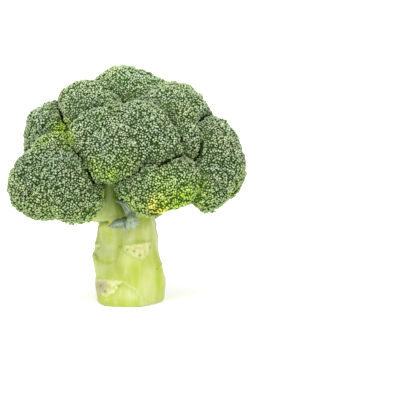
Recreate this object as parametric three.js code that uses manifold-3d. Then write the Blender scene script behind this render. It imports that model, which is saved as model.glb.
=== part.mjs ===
// A broccoli head standing on the flat cut end of its stalk.
//
// Millimetres, +Z up along the stalk, origin at the middle of the cut end, -Y the front.
// The stalk forks into limbs. Each limb fans out into branchlets under one floret, which is a dome
// of knobs covered with buds. Neighbouring florets press against each other, so each one is cut
// along the planes where its knobs meet theirs. Leaf stubs stand on the stalk where leaves were
// trimmed off, and a few small leaves are left where the limbs start.

import * as THREE from "three";
import { mergeVertices } from "three/addons/utils/BufferGeometryUtils.js";
import Module from "manifold-3d";

const wasm = await Module();
wasm.setup();

// Driving dimensions of the stalk
const STALK_RADIUS = 22.8;
const WAIST_HEIGHT = 46;
const WAIST_LENGTH = 15;
const WAIST_DEPTH = 2.8;
const WAIST_SHIFT = 1.5;
const SHOULDER_HEIGHT = 58;
const STALK_TOP = 92;
const STALK_TOP_SHARE = 0.35;
const STALK_SIDES = 24;
const STALK_ROWS = 17;
const ROW_BUNCHING = 1.35;
const FLUTES = 5;
const FLUTE_DEPTH = 0.8;
const FLUTE_TWIST = 0.012;
const STUB_RISE = 3.5;
const STUB_FALL = 1.2;
const STUB_BREADTH = 1.1;
const STUB_NARROWING = 1.3;
const KNIFE_LEAN = 0.2;

// Driving dimensions of the limbs
const FORK_LOW = 66;
const FORK_HIGH = 80;
const LIMB_RADIUS = 8.2;
const LIMB_ROOT_SWELL = 0.25;
const LIMB_UPTURN = 0.25;
const LIMB_SIDES = 10;
const LIMB_STEPS = 6;
const BRANCHLETS = 5;
const BRANCHLET_DEPTH = 0.2;
const FAN_START = 0.5;
const FAN_SHARE = 0.66;
const FAN_CURVE = 1.5;

// Driving dimensions of the florets
const BUD_HEIGHT = 2;
const BUD_UNEVENNESS = 0.5;
const BUD_JITTER = 0.42;
const KNOB_BLEND = 1.6;
const FLORET_DEPTH = 0.36;
const CLEARANCE = 0.3;

// Driving dimensions of the leaves
const LEAF_THICKNESS = 0.8;
const LEAF_ROWS = 8;
const LEAF_COLUMNS = 4;
const LEAF_NECK = 0.25;
const EDGE_WAVE = 0.5;
const WAVE_TURNS = 1.4;

// The florets. A knob is a ball of buds: its middle's x, y and z, then its radius. Depth says how
// far below the floret's middle its underside lies, as a share of its size.
const FLORETS = [
  {
    name: "floret_crown_top",
    fineness: 4,
    knobs: [
      [-4, 16, 134, 26],
      [11, 10, 131, 23.5],
      [-15, 12, 129, 22],
    ],
  },
  {
    name: "floret_upper_left",
    fineness: 4,
    knobs: [
      [-27, -3, 128, 23],
      [-33, 4, 121, 20],
      [-18, -14, 124, 19],
    ],
  },
  {
    name: "floret_outer_left",
    fineness: 4,
    knobs: [
      [-51, 8, 115, 20],
      [-43, -2, 119.5, 19],
      [-53, 20, 106, 20],
    ],
  },
  {
    name: "floret_front_centre",
    fineness: 5,
    depth: 0.55,
    knobs: [
      [-14, -29, 111, 24],
      [9, -30, 114, 24],
      [-16, -38, 99, 16],
      [18, -34, 106, 19.5],
      [-3, -43, 105, 20],
    ],
  },
  {
    name: "floret_upper_right",
    fineness: 4,
    knobs: [
      [29.5, -2, 124.5, 25],
      [36, 2, 115, 24],
      [22, -12, 123, 22],
      [36, -18, 108, 20],
    ],
  },
  {
    name: "floret_outer_right",
    fineness: 4,
    depth: 0.7,
    knobs: [
      [50, -8, 103, 25],
      [55, -4, 92, 24],
      [47, -16, 86, 23],
    ],
  },
  {
    name: "floret_low_left",
    fineness: 5,
    depth: 1.35,
    knobs: [
      [-54, -24, 83, 24],
      [-33.5, -36, 77, 18.5],
      [-44, -24, 96, 21],
      [-38, -38, 88, 20],
    ],
  },
  {
    name: "floret_low_front",
    fineness: 4,
    depth: 0.6,
    knobs: [
      [7.5, -42, 86.5, 14.5],
      [30, -38, 87, 18],
      [17, -46, 82, 17],
    ],
  },
  {
    name: "floret_back_left",
    fineness: 4,
    knobs: [
      [-42, 36, 92, 24],
      [-48, 28, 82, 23],
      [-31, 46, 82, 22],
    ],
  },
  {
    name: "floret_back_right",
    fineness: 4,
    knobs: [
      [42, 34, 94, 25],
      [48, 26, 86, 21],
      [32, 46, 84, 21],
    ],
  },
  {
    name: "floret_back_upper",
    fineness: 4,
    knobs: [
      [-2, 44, 117, 23],
      [17, 40, 112, 21],
      [-18, 40, 110, 20],
    ],
  },
  {
    name: "floret_back_low",
    fineness: 4,
    knobs: [
      [2, 57, 86, 19],
      [13, 54, 78, 17],
      [-11, 55, 77, 17],
    ],
  },
];

// A side limb that shows between two florets: its root, its end, which way it faces at its end and
// how wide it fans out.
const SIDE_LIMBS = [
  { root: [-7, -4, 40], underside: [-12.5, -26, 88], facing: [0.05, -0.3, 0.95], size: 6.5 },
];

// The stubs of trimmed leaves: the compass bearing round the stalk in degrees from +X towards +Y,
// the height where the stub stands out most, its width, how far it runs down the stalk, how far it
// swells, and how much of the swelling the knife took off.
const LEAF_STUBS = [
  { bearing: 287, height: 37, width: 24, run: 17, swell: 3.4, trimmed: 2 },
  { bearing: 234, height: 13, width: 32, run: 16, swell: 3.2, trimmed: 1.8 },
  { bearing: 186, height: 37, width: 22, run: 17, swell: 4.2, trimmed: 1.6 },
  { bearing: 354, height: 20, width: 24, run: 22, swell: 2.4, trimmed: 1.6 },
  { bearing: 208, height: 56, width: 20, run: 9, swell: 4.6, trimmed: 1.4 },
  { bearing: 62, height: 25, width: 26, run: 19, swell: 3.8, trimmed: 2 },
  { bearing: 126, height: 42, width: 24, run: 17, swell: 3.8, trimmed: 2 },
  { bearing: 18, height: 47, width: 20, run: 14, swell: 3.4, trimmed: 1.8 },
];

// The leaves left on: where the leaf leaves the stalk, which way it sets off, how it ends, its
// length and greatest width, and how much its two halves fold up.
const LEAVES = [
  {
    name: "leaf_front",
    from: [7, -20.5, 58],
    over: [-2.5, -29, 59],
    to: [-12.5, -27.5, 54.5],
    width: 9,
    cup: 0.3,
  },
  {
    name: "leaf_front_upper",
    from: [3.5, -20, 65],
    over: [0.5, -30, 68.5],
    to: [-6.5, -31, 74],
    width: 7,
    cup: 0.5,
  },
  {
    name: "leaf_back_right",
    from: [9, 18, 52],
    over: [16, 30, 55],
    to: [18, 43, 60],
    width: 13,
    cup: 0.35,
  },
  {
    name: "leaf_back_left",
    from: [-6, 19, 50],
    over: [-12, 31, 54],
    to: [-14, 44, 61],
    width: 14,
    cup: 0.35,
  },
];

const GREEN_BUDS = new THREE.MeshStandardMaterial({ color: 0x6f8a5c, roughness: 0.75 });
const PALE_STALK = new THREE.MeshStandardMaterial({ color: 0xc9d873, roughness: 0.5 });
const BLUE_LEAF = new THREE.MeshStandardMaterial({ color: 0x8fa58a, roughness: 0.6 });

const UP = new THREE.Vector3(0, 0, 1);
const FAR = 300;

// A repeatable random draw from 0 to 1.
function seededDraw(seed) {
  let state = seed;
  return () => {
    state = (state + 0x6d2b79f5) | 0;
    let mixed = Math.imul(state ^ (state >>> 15), 1 | state);
    mixed = (mixed + Math.imul(mixed ^ (mixed >>> 7), 61 | mixed)) ^ mixed;
    return ((mixed ^ (mixed >>> 14)) >>> 0) / 4294967296;
  };
}

// A geometry with positions only, its shared corners joined.
function joined(geometry) {
  geometry.deleteAttribute("normal");
  geometry.deleteAttribute("uv");
  return mergeVertices(geometry, 1e-4);
}

// A closed three.js geometry as a solid that can be joined and cut.
function solidOf(geometry) {
  const closed = joined(geometry);
  const vertProperties = closed.attributes.position.array;
  const triVerts = new Uint32Array(closed.index.array);
  return new wasm.Manifold(new wasm.Mesh({ numProp: 3, vertProperties, triVerts }));
}

// The largest body of a solid, as a three.js geometry. Cutting can leave loose scraps beside it.
function geometryOf(solid) {
  const [body] = solid.decompose().sort((a, b) => b.volume() - a.volume());
  const mesh = body.getMesh();
  const geometry = new THREE.BufferGeometry();
  geometry.setAttribute("position", new THREE.BufferAttribute(new Float32Array(mesh.vertProperties), 3));
  geometry.setIndex(new THREE.BufferAttribute(new Uint32Array(mesh.triVerts), 1));
  geometry.computeVertexNormals();
  return geometry;
}

// Moves every corner of a geometry by a rule that takes a point and returns the moved one.
function reshape(geometry, rule) {
  const position = geometry.attributes.position;
  const point = new THREE.Vector3();
  for (let i = 0; i < position.count; i++) {
    const moved = rule(point.fromBufferAttribute(position, i));
    position.setXYZ(i, moved.x, moved.y, moved.z);
  }
  return geometry;
}

// A block that fills the far side of a plane: everything beyond `point` along `normal`.
function farSide(point, normal) {
  const block = new THREE.BoxGeometry(FAR, FAR, FAR);
  const turn = new THREE.Quaternion().setFromUnitVectors(UP, normal);
  const middle = point.clone().addScaledVector(normal, FAR / 2);
  block.applyMatrix4(new THREE.Matrix4().compose(middle, turn, new THREE.Vector3(1, 1, 1)));
  return solidOf(block);
}

// The facts of a floret: its knobs and middle, where its limb starts, which way it faces, and the
// middle of its flat underside.
function readFloret({ name, fineness, knobs, depth = FLORET_DEPTH }) {
  const balls = knobs.map(([x, y, z, radius]) => ({ middle: new THREE.Vector3(x, y, z), radius }));
  const middle = new THREE.Vector3();
  balls.forEach((ball) => middle.addScaledVector(ball.middle, 1 / balls.length));
  const size = balls.reduce((sum, ball) => sum + ball.radius, 0) / balls.length;
  const lean = Math.atan2(Math.hypot(middle.x, middle.y), middle.z - FORK_LOW) / (Math.PI / 2);
  const root = new THREE.Vector3(0, 0, THREE.MathUtils.lerp(FORK_HIGH, FORK_LOW, lean));
  const facing = middle.clone().sub(root).normalize().lerp(UP, LIMB_UPTURN).normalize();
  const underside = middle.clone().addScaledVector(facing, -depth * size);
  return { name, fineness, balls, middle, size, root, facing, underside };
}

const florets = FLORETS.map(readFloret);

function readLimb({ root, underside, facing, size }) {
  return {
    root: new THREE.Vector3(...root),
    underside: new THREE.Vector3(...underside),
    facing: new THREE.Vector3(...facing).normalize(),
    size,
  };
}

const sideLimbs = SIDE_LIMBS.map(readLimb);

// How far a ray from a floret's middle runs before it leaves the knobs, with soft creases between.
function reachAlong(direction, floret) {
  let sum = 0;
  for (const ball of floret.balls) {
    const offset = ball.middle.clone().sub(floret.middle);
    const along = offset.dot(direction);
    const square = along * along - offset.lengthSq() + ball.radius * ball.radius;
    if (square > 0) sum += Math.exp((along + Math.sqrt(square)) / KNOB_BLEND);
  }
  return KNOB_BLEND * Math.log(sum);
}

// A dome of buds. Every corner of an even ball grid is the tip of a six-sided bud, and the middles
// of the grid's triangles are the hollows between the buds.
function budDome(floret, seed) {
  const draw = seededDraw(seed);
  const grid = joined(new THREE.IcosahedronGeometry(1, floret.fineness));
  const corners = grid.attributes.position;
  const index = grid.index.array;
  const turn = new THREE.Quaternion().setFromUnitVectors(UP, floret.facing);
  const jitter = () => ((draw() - 0.5) * BUD_JITTER) / (floret.fineness + 1);
  const place = (direction, lift) =>
    direction
      .clone()
      .multiplyScalar(reachAlong(direction, floret) + lift)
      .add(floret.middle);

  const tips = [];
  for (let i = 0; i < corners.count; i++) {
    const tip = new THREE.Vector3().fromBufferAttribute(corners, i).applyQuaternion(turn);
    tips.push(tip.add(new THREE.Vector3(jitter(), jitter(), jitter())).normalize());
  }
  const points = tips.map((tip) => place(tip, BUD_HEIGHT * (1 - BUD_UNEVENNESS * draw())));

  const hollowBeside = new Map();
  for (let f = 0; f < index.length; f += 3) {
    const [a, b, c] = index.slice(f, f + 3);
    const hollow = tips[a].clone().add(tips[b]).add(tips[c]).normalize();
    for (const edge of [`${a} ${b}`, `${b} ${c}`, `${c} ${a}`]) hollowBeside.set(edge, points.length);
    points.push(place(hollow, 0));
  }
  const triangles = [];
  for (const [edge, left] of hollowBeside) {
    const [a, b] = edge.split(" ");
    triangles.push(Number(a), hollowBeside.get(`${b} ${a}`), left);
  }
  const dome = new THREE.BufferGeometry().setFromPoints(points);
  dome.setIndex(triangles);
  return solidOf(dome);
}

// The space of a neighbour's knob: nearer to it than to any knob of this floret, on the planes
// where two balls cross, with half the clearance added.
function neighbourSpace(ball, floret) {
  const sides = floret.balls.map((own) => {
    const normal = ball.middle.clone().sub(own.middle);
    const apart = normal.length();
    const split = (apart * apart + own.radius ** 2 - ball.radius ** 2) / (2 * apart);
    normal.normalize();
    return farSide(own.middle.clone().addScaledVector(normal, split - CLEARANCE / 2), normal);
  });
  return sides.reduce((space, side) => space.intersect(side));
}

// A limb: a cylinder bent along a curve that leaves the stalk, turns to meet its floret squarely
// and fans out into branchlets. `extra` makes it fatter all round.
function buildLimb(floret, extra) {
  const start = floret.root;
  const end = floret.underside.clone().addScaledVector(floret.facing, -CLEARANCE);
  const bend = end.clone().addScaledVector(floret.facing, -0.5 * end.distanceTo(start));
  const path = new THREE.QuadraticBezierCurve3(start, bend, end);
  const frames = path.computeFrenetFrames(LIMB_STEPS, false);
  const limb = new THREE.CylinderGeometry(1, 1, 1, LIMB_SIDES, LIMB_STEPS);
  reshape(limb, (p) => {
    const share = p.y + 0.5;
    const step = Math.round(share * LIMB_STEPS);
    const fan = THREE.MathUtils.clamp((share - FAN_START) / (1 - FAN_START), 0, 1) ** FAN_CURVE;
    const round = LIMB_RADIUS * (1 + LIMB_ROOT_SWELL * (1 - share));
    const ridge = 1 + BRANCHLET_DEPTH * fan * Math.cos(BRANCHLETS * Math.atan2(p.z, p.x));
    const radius = THREE.MathUtils.lerp(round, FAN_SHARE * floret.size, fan) * ridge + extra;
    const across = frames.normals[step].clone().multiplyScalar(p.x * radius);
    const aside = frames.binormals[step].clone().multiplyScalar(-p.z * radius);
    return path.getPointAt(share).add(across).add(aside);
  });
  return solidOf(limb);
}

// The space that a side limb needs inside the florets: wider all round, and longer.
function sideLimbRoom(limb) {
  const underside = limb.underside.clone().addScaledVector(limb.facing, 2 * CLEARANCE);
  return buildLimb({ ...limb, underside }, CLEARANCE);
}

function buildFloret(floret, seed) {
  let solid = budDome(floret, seed);
  solid = solid.subtract(farSide(floret.underside, floret.facing.clone().negate()));
  for (const other of florets) {
    if (other === floret) continue;
    for (const ball of other.balls) solid = solid.subtract(neighbourSpace(ball, floret));
    solid = solid.subtract(buildLimb(other, CLEARANCE));
  }
  for (const limb of sideLimbs) solid = solid.subtract(sideLimbRoom(limb));
  return geometryOf(solid);
}

function waistShare(height) {
  return Math.exp(-(((height - WAIST_HEIGHT) / WAIST_LENGTH) ** 2));
}

// The stalk's plain radius at a height and an angle: a waist, a taper above the shoulder, and flutes.
function plainRadius(height, angle) {
  const waist = WAIST_DEPTH * waistShare(height);
  const taper = THREE.MathUtils.smoothstep(height, SHOULDER_HEIGHT, STALK_TOP);
  const body = (STALK_RADIUS - waist) * (1 - (1 - STALK_TOP_SHARE) * taper);
  return body + FLUTE_DEPTH * Math.cos(FLUTES * (angle + FLUTE_TWIST * height));
}

// How far a leaf stub swells the stalk: steep above, and running down below to a point.
function stubSwell(stub, height, angle) {
  const above = (height - stub.height) / stub.run;
  const slope = above > 0 ? STUB_RISE : STUB_FALL;
  const turned = angle - THREE.MathUtils.degToRad(stub.bearing);
  const aside = (Math.atan2(Math.sin(turned), Math.cos(turned)) * STALK_RADIUS) / (stub.width / 2);
  const narrowing = STUB_BREADTH + STUB_NARROWING * THREE.MathUtils.clamp(-above, 0, 1);
  return stub.swell * Math.exp(-((slope * above) ** 2) - (narrowing * aside) ** 2);
}

function stalkRadius(height, angle) {
  const swells = LEAF_STUBS.map((stub) => stubSwell(stub, height, angle));
  return plainRadius(height, angle) + Math.max(...swells);
}

function buildTrunk(extra) {
  const trunk = new THREE.CylinderGeometry(1, 1, 1, STALK_SIDES, STALK_ROWS);
  trunk.rotateX(Math.PI / 2);
  reshape(trunk, (p) => {
    const height = STALK_TOP * (p.z + 0.5) ** ROW_BUNCHING;
    const angle = Math.atan2(p.y, p.x);
    const radius = Math.hypot(p.x, p.y) * (stalkRadius(height, angle) + extra);
    const aside = -WAIST_SHIFT * waistShare(height);
    return p.set(radius * Math.cos(angle) + aside, radius * Math.sin(angle), height);
  });
  return solidOf(trunk);
}

// What the knife takes off a leaf stub: everything outside a plane that leans back a little.
function trimmedOff(stub) {
  const angle = THREE.MathUtils.degToRad(stub.bearing);
  const out = new THREE.Vector3(Math.cos(angle), Math.sin(angle), 0);
  const face = stalkRadius(stub.height, angle) - stub.trimmed;
  const point = out.clone().multiplyScalar(face).setZ(stub.height);
  return farSide(point, out.setZ(KNIFE_LEAN).normalize());
}

// A leaf: a thin plate laid along a curve, widest past its middle, cupped, with a waved edge.
function buildLeaf({ from, over, to, width, cup }) {
  const path = new THREE.QuadraticBezierCurve3(
    new THREE.Vector3(...from),
    new THREE.Vector3(...over),
    new THREE.Vector3(...to),
  );
  const plate = new THREE.BoxGeometry(2, LEAF_THICKNESS, 1, LEAF_COLUMNS, 1, LEAF_ROWS);
  const outward = path.getPointAt(0.5).setZ(0).normalize();
  reshape(plate, (p) => {
    const share = p.z + 0.5;
    const spine = path.getPointAt(share);
    const ahead = path.getTangentAt(share);
    const aside = outward.clone().cross(ahead).normalize();
    const face = ahead.clone().cross(aside).normalize();
    const swelling = Math.sin(Math.PI * THREE.MathUtils.lerp(0.1, 0.92, share));
    const half = (width / 2) * THREE.MathUtils.lerp(LEAF_NECK, 1, swelling);
    const wave = EDGE_WAVE * Math.sin(2 * Math.PI * WAVE_TURNS * share);
    const rise = (cup * half + wave) * p.x * p.x;
    return spine.addScaledVector(aside, p.x * half).addScaledVector(face, p.y + rise);
  });
  return solidOf(plate);
}

const head = new THREE.Group();

function addMesh(name, geometry, material) {
  const mesh = new THREE.Mesh(geometry, material);
  mesh.name = name;
  head.add(mesh);
}

let stalk = buildTrunk(0);
let stalkRoom = buildTrunk(CLEARANCE);
for (const stub of LEAF_STUBS) stalk = stalk.subtract(trimmedOff(stub));
for (const limb of [...florets, ...sideLimbs]) {
  stalk = stalk.add(buildLimb(limb, 0));
  stalkRoom = stalkRoom.add(buildLimb(limb, CLEARANCE));
}
addMesh("stalk", geometryOf(stalk), PALE_STALK);

florets.forEach((floret, i) => addMesh(floret.name, buildFloret(floret, i + 1), GREEN_BUDS));

for (const leaf of LEAVES) {
  addMesh(leaf.name, geometryOf(buildLeaf(leaf).subtract(stalkRoom)), BLUE_LEAF);
}

export default head;
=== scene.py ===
# The looks of a fresh broccoli head that stands on the cut end of its stalk.
#
# Metres, +Z up along the stalk, -Y the front. The frame's solids give every place and outer shape.
# The florets get their buds here, the stalk its branchlets, scars and fibres, the leaves their veins.

import math

import bmesh
import bpy
import numpy as np
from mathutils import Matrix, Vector, noise
from mathutils.bvhtree import BVHTree
from mathutils.kdtree import KDTree


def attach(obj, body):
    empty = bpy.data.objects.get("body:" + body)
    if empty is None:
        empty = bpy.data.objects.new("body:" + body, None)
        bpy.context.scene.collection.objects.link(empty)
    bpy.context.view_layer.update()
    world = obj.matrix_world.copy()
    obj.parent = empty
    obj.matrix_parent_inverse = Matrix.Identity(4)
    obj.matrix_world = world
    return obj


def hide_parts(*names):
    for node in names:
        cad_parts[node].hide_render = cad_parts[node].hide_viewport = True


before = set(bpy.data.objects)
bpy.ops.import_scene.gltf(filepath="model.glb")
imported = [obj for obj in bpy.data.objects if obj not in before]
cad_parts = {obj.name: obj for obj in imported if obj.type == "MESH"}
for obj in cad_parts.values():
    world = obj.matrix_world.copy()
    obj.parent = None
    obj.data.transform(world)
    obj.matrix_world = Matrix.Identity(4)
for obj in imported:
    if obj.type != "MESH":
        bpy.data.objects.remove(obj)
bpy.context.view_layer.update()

MM = 0.001
UP = Vector((0, 0, 1))
draw = np.random.default_rng(11)

# Buds. One bud is drawn for a radius of 1: how far its top and its foot reach, and the height below
# which it is all dark, a darkest green that is partly painted shade between the buds.
BUD_SPACING = 1.22 * MM
BUD_RADIUS = 0.79 * MM
BUD_SIZE_SPREAD = 0.16
BUD_CREASE_LOSS = 0.15
BUD_SEGMENTS = 5
BUD_RINGS = 3
BUD_TOP = 1.2
BUD_FOOT = 0.8
BUD_DARK_BELOW = -0.7
BUD_TILT = 0.3
BUD_LIFT = -1.3 * MM
BUDS_MISSING = 0.04
TRIES_PER_BUD = 10

# Floret cores, under the buds. A scale of noise is in patches for each metre.
CORE_VOXEL = 1.5 * MM
CORE_SMOOTHING = 8
CORE_INSET = 2.1 * MM
CORE_INSET_SEAM_LOSS = 0.4
OPEN_REACH = 0.42 * MM
OPEN_REACH_LEAST = 0.6
OPEN_REACH_SCALE = 110.0
# Clumps of buds, and bunches within them: how far apart they are, how deep their root lies, how far
# each swells, how much that varies, then the width and depth of the creases between, in millimetres.
CLUMPS = [(9.0, 12.0, 1.0, 0.4, 1.8, 0.9), (4.2, 6.0, 0.5, 0.3, 1.2, 0.9)]
SEAM_WIDTH = 3 * MM
SEAM_DEPTH = 0.55 * MM
SEAM_UNEVENNESS = 1.5
SEAM_SCALE = 45.0
SHADE_REACH = 9 * MM
HEAD_HEART = Vector((0, 0, 62 * MM))

# How young the buds are, from 0 to 1: on a floret's turned away rim, where they face down, and in
# patches, which are weaker higher up the head. A pair says where each sets in and where it is full.
# Heights are in millimetres.
RIM_YOUTH = 0.8
RIM_FACING = (0.0, -0.7)
UNDERSIDE_YOUTH = 0.45
UNDERSIDE_FACING = (0.5, -0.8)
PATCH_YOUTH = 0.4
PATCH_YOUTH_LOSS = 0.25
PATCH_YOUTH_FADE = (95, 125)
PATCH_LEVELS = (-0.1, 0.6)
PATCH_SCALE = 60.0
CORE_YOUTH = 0.9
# Each bud takes a random share of what its place gives it, between these.
YOUTH_SHARE = (0.1, 1.0)
YOUNG_SPOT_SHARE = (0.6, 1.0)
OVERRIPE_SHARE = (0.3, 1.0)

# How light the buds are. From one height to another they grow lighter by an amount. In creases and beside
# other florets they are painted darker, as shade.
TONE = 0.68
TONE_SPREAD = 0.13
TONE_PATCHES = 0.35
TONE_SCALE = 260.0
TONE_MOST = 1.25
LIGHTER_UPWARDS = [(100, 122, 0.12), (140, 157, 0.45)]
YOUNG_LIGHTER = 0.2
CREASE_PAINTED_SHADE = 0.3
SEAM_PAINTED_SHADE = 0.42
# The core shows between the buds and is darker than they are, partly as painted shade in the gaps; it is
# lighter high up the head.
CORE_TONE = 0.5
CORE_LIGHTER_UPWARDS = (115, 150, 0.8)

# Where the buds are young and yellow-green: x, y, z and reach in millimetres, then how much.
YOUNG_SPOTS = [
    (-43, -22, 117, 8, 1.5),
    (-37, -28, 113, 8, 1.5),
    (-33, -36, 106, 7, 1.3),
    (-34, -38, 113, 7, 1.2),
    (-53, -30, 110, 8, 0.8),
    (-15, -52, 96, 9, 1.0),
    (-8, -58, 92, 9, 1.0),
    (0, -60, 100, 8, 0.6),
    (24, -58, 71, 13, 1.3),
    (38, -50, 74, 15, 1.4),
    (44, -38, 80, 11, 1.2),
    (8, -52, 74, 10, 0.9),
    (26, -60, 80, 16, 0.8),
    (-38, -14, 136, 6, 0.6),
    (-48, -44, 66, 12, 0.5),
    (-24, -46, 64, 12, 0.6),
    (52, -36, 70, 12, 0.7),
    (70, -18, 80, 10, 0.5),
    (20, 66, 72, 12, 0.7),
    (-58, 36, 74, 12, 0.6),
]
OVERRIPE_SPOTS = [
    (19, -60, 74, 5, 0.9),
    (22, -58, 69, 7, 1.0),
    (-58, 38, 72, 4, 0.8),
]

# Stalk. Its heights are in millimetres where no unit is given.
STALK_VOXEL = 0.86 * MM
STALK_SMOOTHING = 5
TRUNK_SMOOTHING = 40
STALK_RADIUS = 22.5
TRUNK_TOP = 58
SMOOTHING_TOP = 72
SKIN_FADE = 12
SKIN_INNER_FADE = (12, 18)
UNEVENNESS = 0.3
UNEVENNESS_SCALE = 110.0
UNEVENNESS_STRETCH = (1, 1, 0.35)
WASH_UNEVENNESS = 0.7
WASH_SCALE = 150.0
EDGE_RAGGEDNESS = 0.5
EDGE_SCALE = 400.0
# The limbs turn greener from one height to another, a deep green that also paints the shade under the head.
CROWN_START = 51
CROWN_END = 76
CROWN_UNEVENNESS = 5
CROWN_SCALE = 45.0
CROWN_GREEN = 0.85
CROWN_GREEN_LIME_LOSS = 0.6

# Branchlets. Each starts at a mix of the limb's root, its bend and the floret's underside. They spread
# over a part of the floret, whose own reach holds this percentage of its points.
FORK_LOW = 66 * MM
FORK_HIGH = 80 * MM
FORK_MIX = (0.16, 0.48, 0.36)
LIMB_UPTURN = 0.25
LIMB_BEND = 0.5
FLORET_REACH_HOLDS = 80
BRANCHLETS = 12
BRANCHLET_TURN = 2.4
BRANCHLET_JITTER = 0.2
BRANCHLET_THICK = 3.6
BRANCHLET_THIN = 1.9
BRANCHLET_STEPS = 7
BRANCHLET_SPREAD = 0.5
BRANCHLET_BEND = 0.6
BRANCHLET_SINK = 2 * MM
FLORET_SEARCH_BELOW = 4 * MM
FLORET_SEARCH_LENGTH = 9 * MM

# Places on the stalk's skin are in millimetres: the way round from the front towards +X, then the
# height. A leaf scar is a shield whose point is down. Its list is where its upper edge's middle is,
# its scale across and up, and how brown its middle has turned.
SCAR_OUTLINE = [
    (-9, -0.5),
    (1.4, 0.4),
    (11.6, 0.9),
    (6.8, -7.7),
    (2.2, -10.7),
    (-2.8, -8.3),
    (-7.6, -4.5),
]
# The dots in a scar, where the leaf's bundles were cut: place across and up, then size.
SCAR_BUNDLES = [
    (-6.2, -3.1, 0.7),
    (-2, -3.9, 0.95),
    (1.3, -7, 0.95),
    (9.4, -2.6, 0.8),
    (-12.4, -1.5, 0.7),
]
SCARS = [
    (7, 42, 1.15, 1.0, 0.0),
    (-17.5, 17.6, 1.3, 1.05, 0.9),
    (-34, 40, 0.8, 0.8, 0.1),
    (34, 26, 0.9, 0.9, 0.0),
    (59, 30, 1.0, 1.0, 0.3),
    (-56, 46, 0.95, 0.95, 0.0),
    (42, 52, 0.75, 0.75, 0.1),
]
# Furrows in the skin: their points, then width, depth and how lime they are. Past a set limeness they
# turn a deep green as well, painted shade in the depth of the furrow.
FURROW_SHADE_FROM = 0.55
FURROWS = [
    ([(-6.6, 56), (-6.6, 44), (-9.2, 33), (-8.4, 27)], 2.8, 0.35, 0.62),
    ([(-29.5, 35.5), (-26.5, 31.5), (-19, 29.6), (-11, 30.6)], 1.2, 0.5, 0.45),
    ([(-28.5, 35), (-26.5, 32)], 1.1, 0.5, 0.8),
    ([(20.5, 44), (24.5, 34), (25.6, 20), (24.8, 0)], 2.0, 0.25, 0.55),
    ([(-7, 18), (-0.7, 14.9), (5.5, 9.4), (8.6, 4), (9, 0)], 1.1, 0.35, 0.3),
    ([(-30, 53), (-24, 54.2), (-17, 56), (-11, 57.4)], 1.4, 1.1, 0.62),
    ([(-19, 55.6), (-15.5, 56.6), (-12, 57.3)], 0.8, 1.2, 1.0),
    ([(-28, 53.4), (-21, 55)], 1.5, 0.3, 0.85),
    ([(9.5, 58), (10.5, 51), (13.5, 45)], 1.5, 0.35, 0.45),
    ([(17.5, 60), (18.5, 52), (18, 44)], 1.2, 0.3, 0.45),
    ([(28, 59), (28.5, 57)], 1.2, 0.3, 0.95),
    ([(-5.5, 41.2), (-5, 40.6)], 1.0, 0.3, 0.9),
    ([(-8.2, 29), (-8, 27)], 1.2, 0.2, 0.6),
    ([(48, 52), (50, 34), (47, 18), (49, 4)], 1.6, 0.4, 0.45),
    ([(70, 50), (66, 30), (68, 6)], 1.6, 0.4, 0.4),
    ([(-46, 40), (-44, 22), (-47, 4)], 1.5, 0.4, 0.5),
    ([(-66, 54), (-63, 40), (-64, 26), (-61, 8)], 1.5, 0.4, 0.4),
]
# Ridges on the skin: their points, then width, rise and how pale they are, the paleness a painted highlight
# along them.
RIDGES = [
    ([(-33, 54.8), (-24, 57), (-15, 59), (-6.5, 60.8)], 0.9, 0.7, 1.0),
    ([(-27.5, 51), (-26.6, 42), (-27, 33)], 0.9, 0.5, 0.9),
    ([(-9, 54), (-9.4, 44), (-10.8, 34)], 0.9, 0.35, 0.5),
    ([(-11, 19), (-2, 17.4), (5, 12.4), (9.6, 6), (10.6, 1)], 0.9, 0.35, 0.9),
    ([(12.4, 59), (12.6, 52), (15.5, 46)], 0.9, 0.35, 0.6),
    ([(46, 50), (47.5, 34), (45, 18)], 1.0, 0.35, 0.6),
    ([(-48, 40), (-47, 22), (-50, 6)], 1.0, 0.35, 0.6),
]
# Washes over the skin: way round, height, reach each way, then strength. A lump's strength is how far
# it swells in millimetres.
# Whitish bloom, partly painted sheen and painted light that makes the right side lighter.
BLOOM_AND_PAINTED_LIGHT_WASHES = [
    (-16, 38, 8, 7, 0.6),
    (-24, 40, 1.4, 10, 0.9),
    (17, 45, 6, 9, 1.0),
    (-20, 24.5, 8, 5, 0.7),
    (-2, 34.7, 6, 6, 0.5),
    (1, 45.7, 5, 4, 0.7),
    (17, 51, 4, 10, 0.8),
    (-4.8, 9, 9, 5, 0.7),
    (33, 18, 5, 14, 0.5),
    (14, 12, 8, 12, 0.6),
    (30, 40, 6, 10, 0.6),
    (52, 44, 8, 9, 0.7),
    (62, 16, 6, 9, 0.5),
    (-52, 30, 7, 12, 0.7),
    (-38, 14, 6, 8, 0.5),
    (-64, 12, 8, 6, 0.6),
]
LIME_WASHES = [
    (4.8, 23, 3.5, 8, 1.0),
    (8, 30, 4, 3, 0.7),
    (-13, 1.5, 9, 3, 0.7),
    (24, 20, 3.2, 22, 1.1),
    (20.5, 47, 2.0, 9, 0.7),
    (11, 50, 4, 8, 0.5),
    (15, 61, 7, 7, 1.0),
    (-18, 50, 9, 6, 0.5),
    (-12, 21, 7, 4, 0.6),
    (-24, 54.4, 5, 1.8, 1.0),
    (0, 3.5, 11, 3, 0.6),
    (15, 32, 7, 6, 0.35),
    (-26, 3, 8, 4, 0.6),
    (40, 40, 3, 10, 0.6),
    (56, 30, 3, 9, 0.6),
    (-44, 46, 4, 9, 0.6),
    (-58, 20, 3, 12, 0.5),
]
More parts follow.
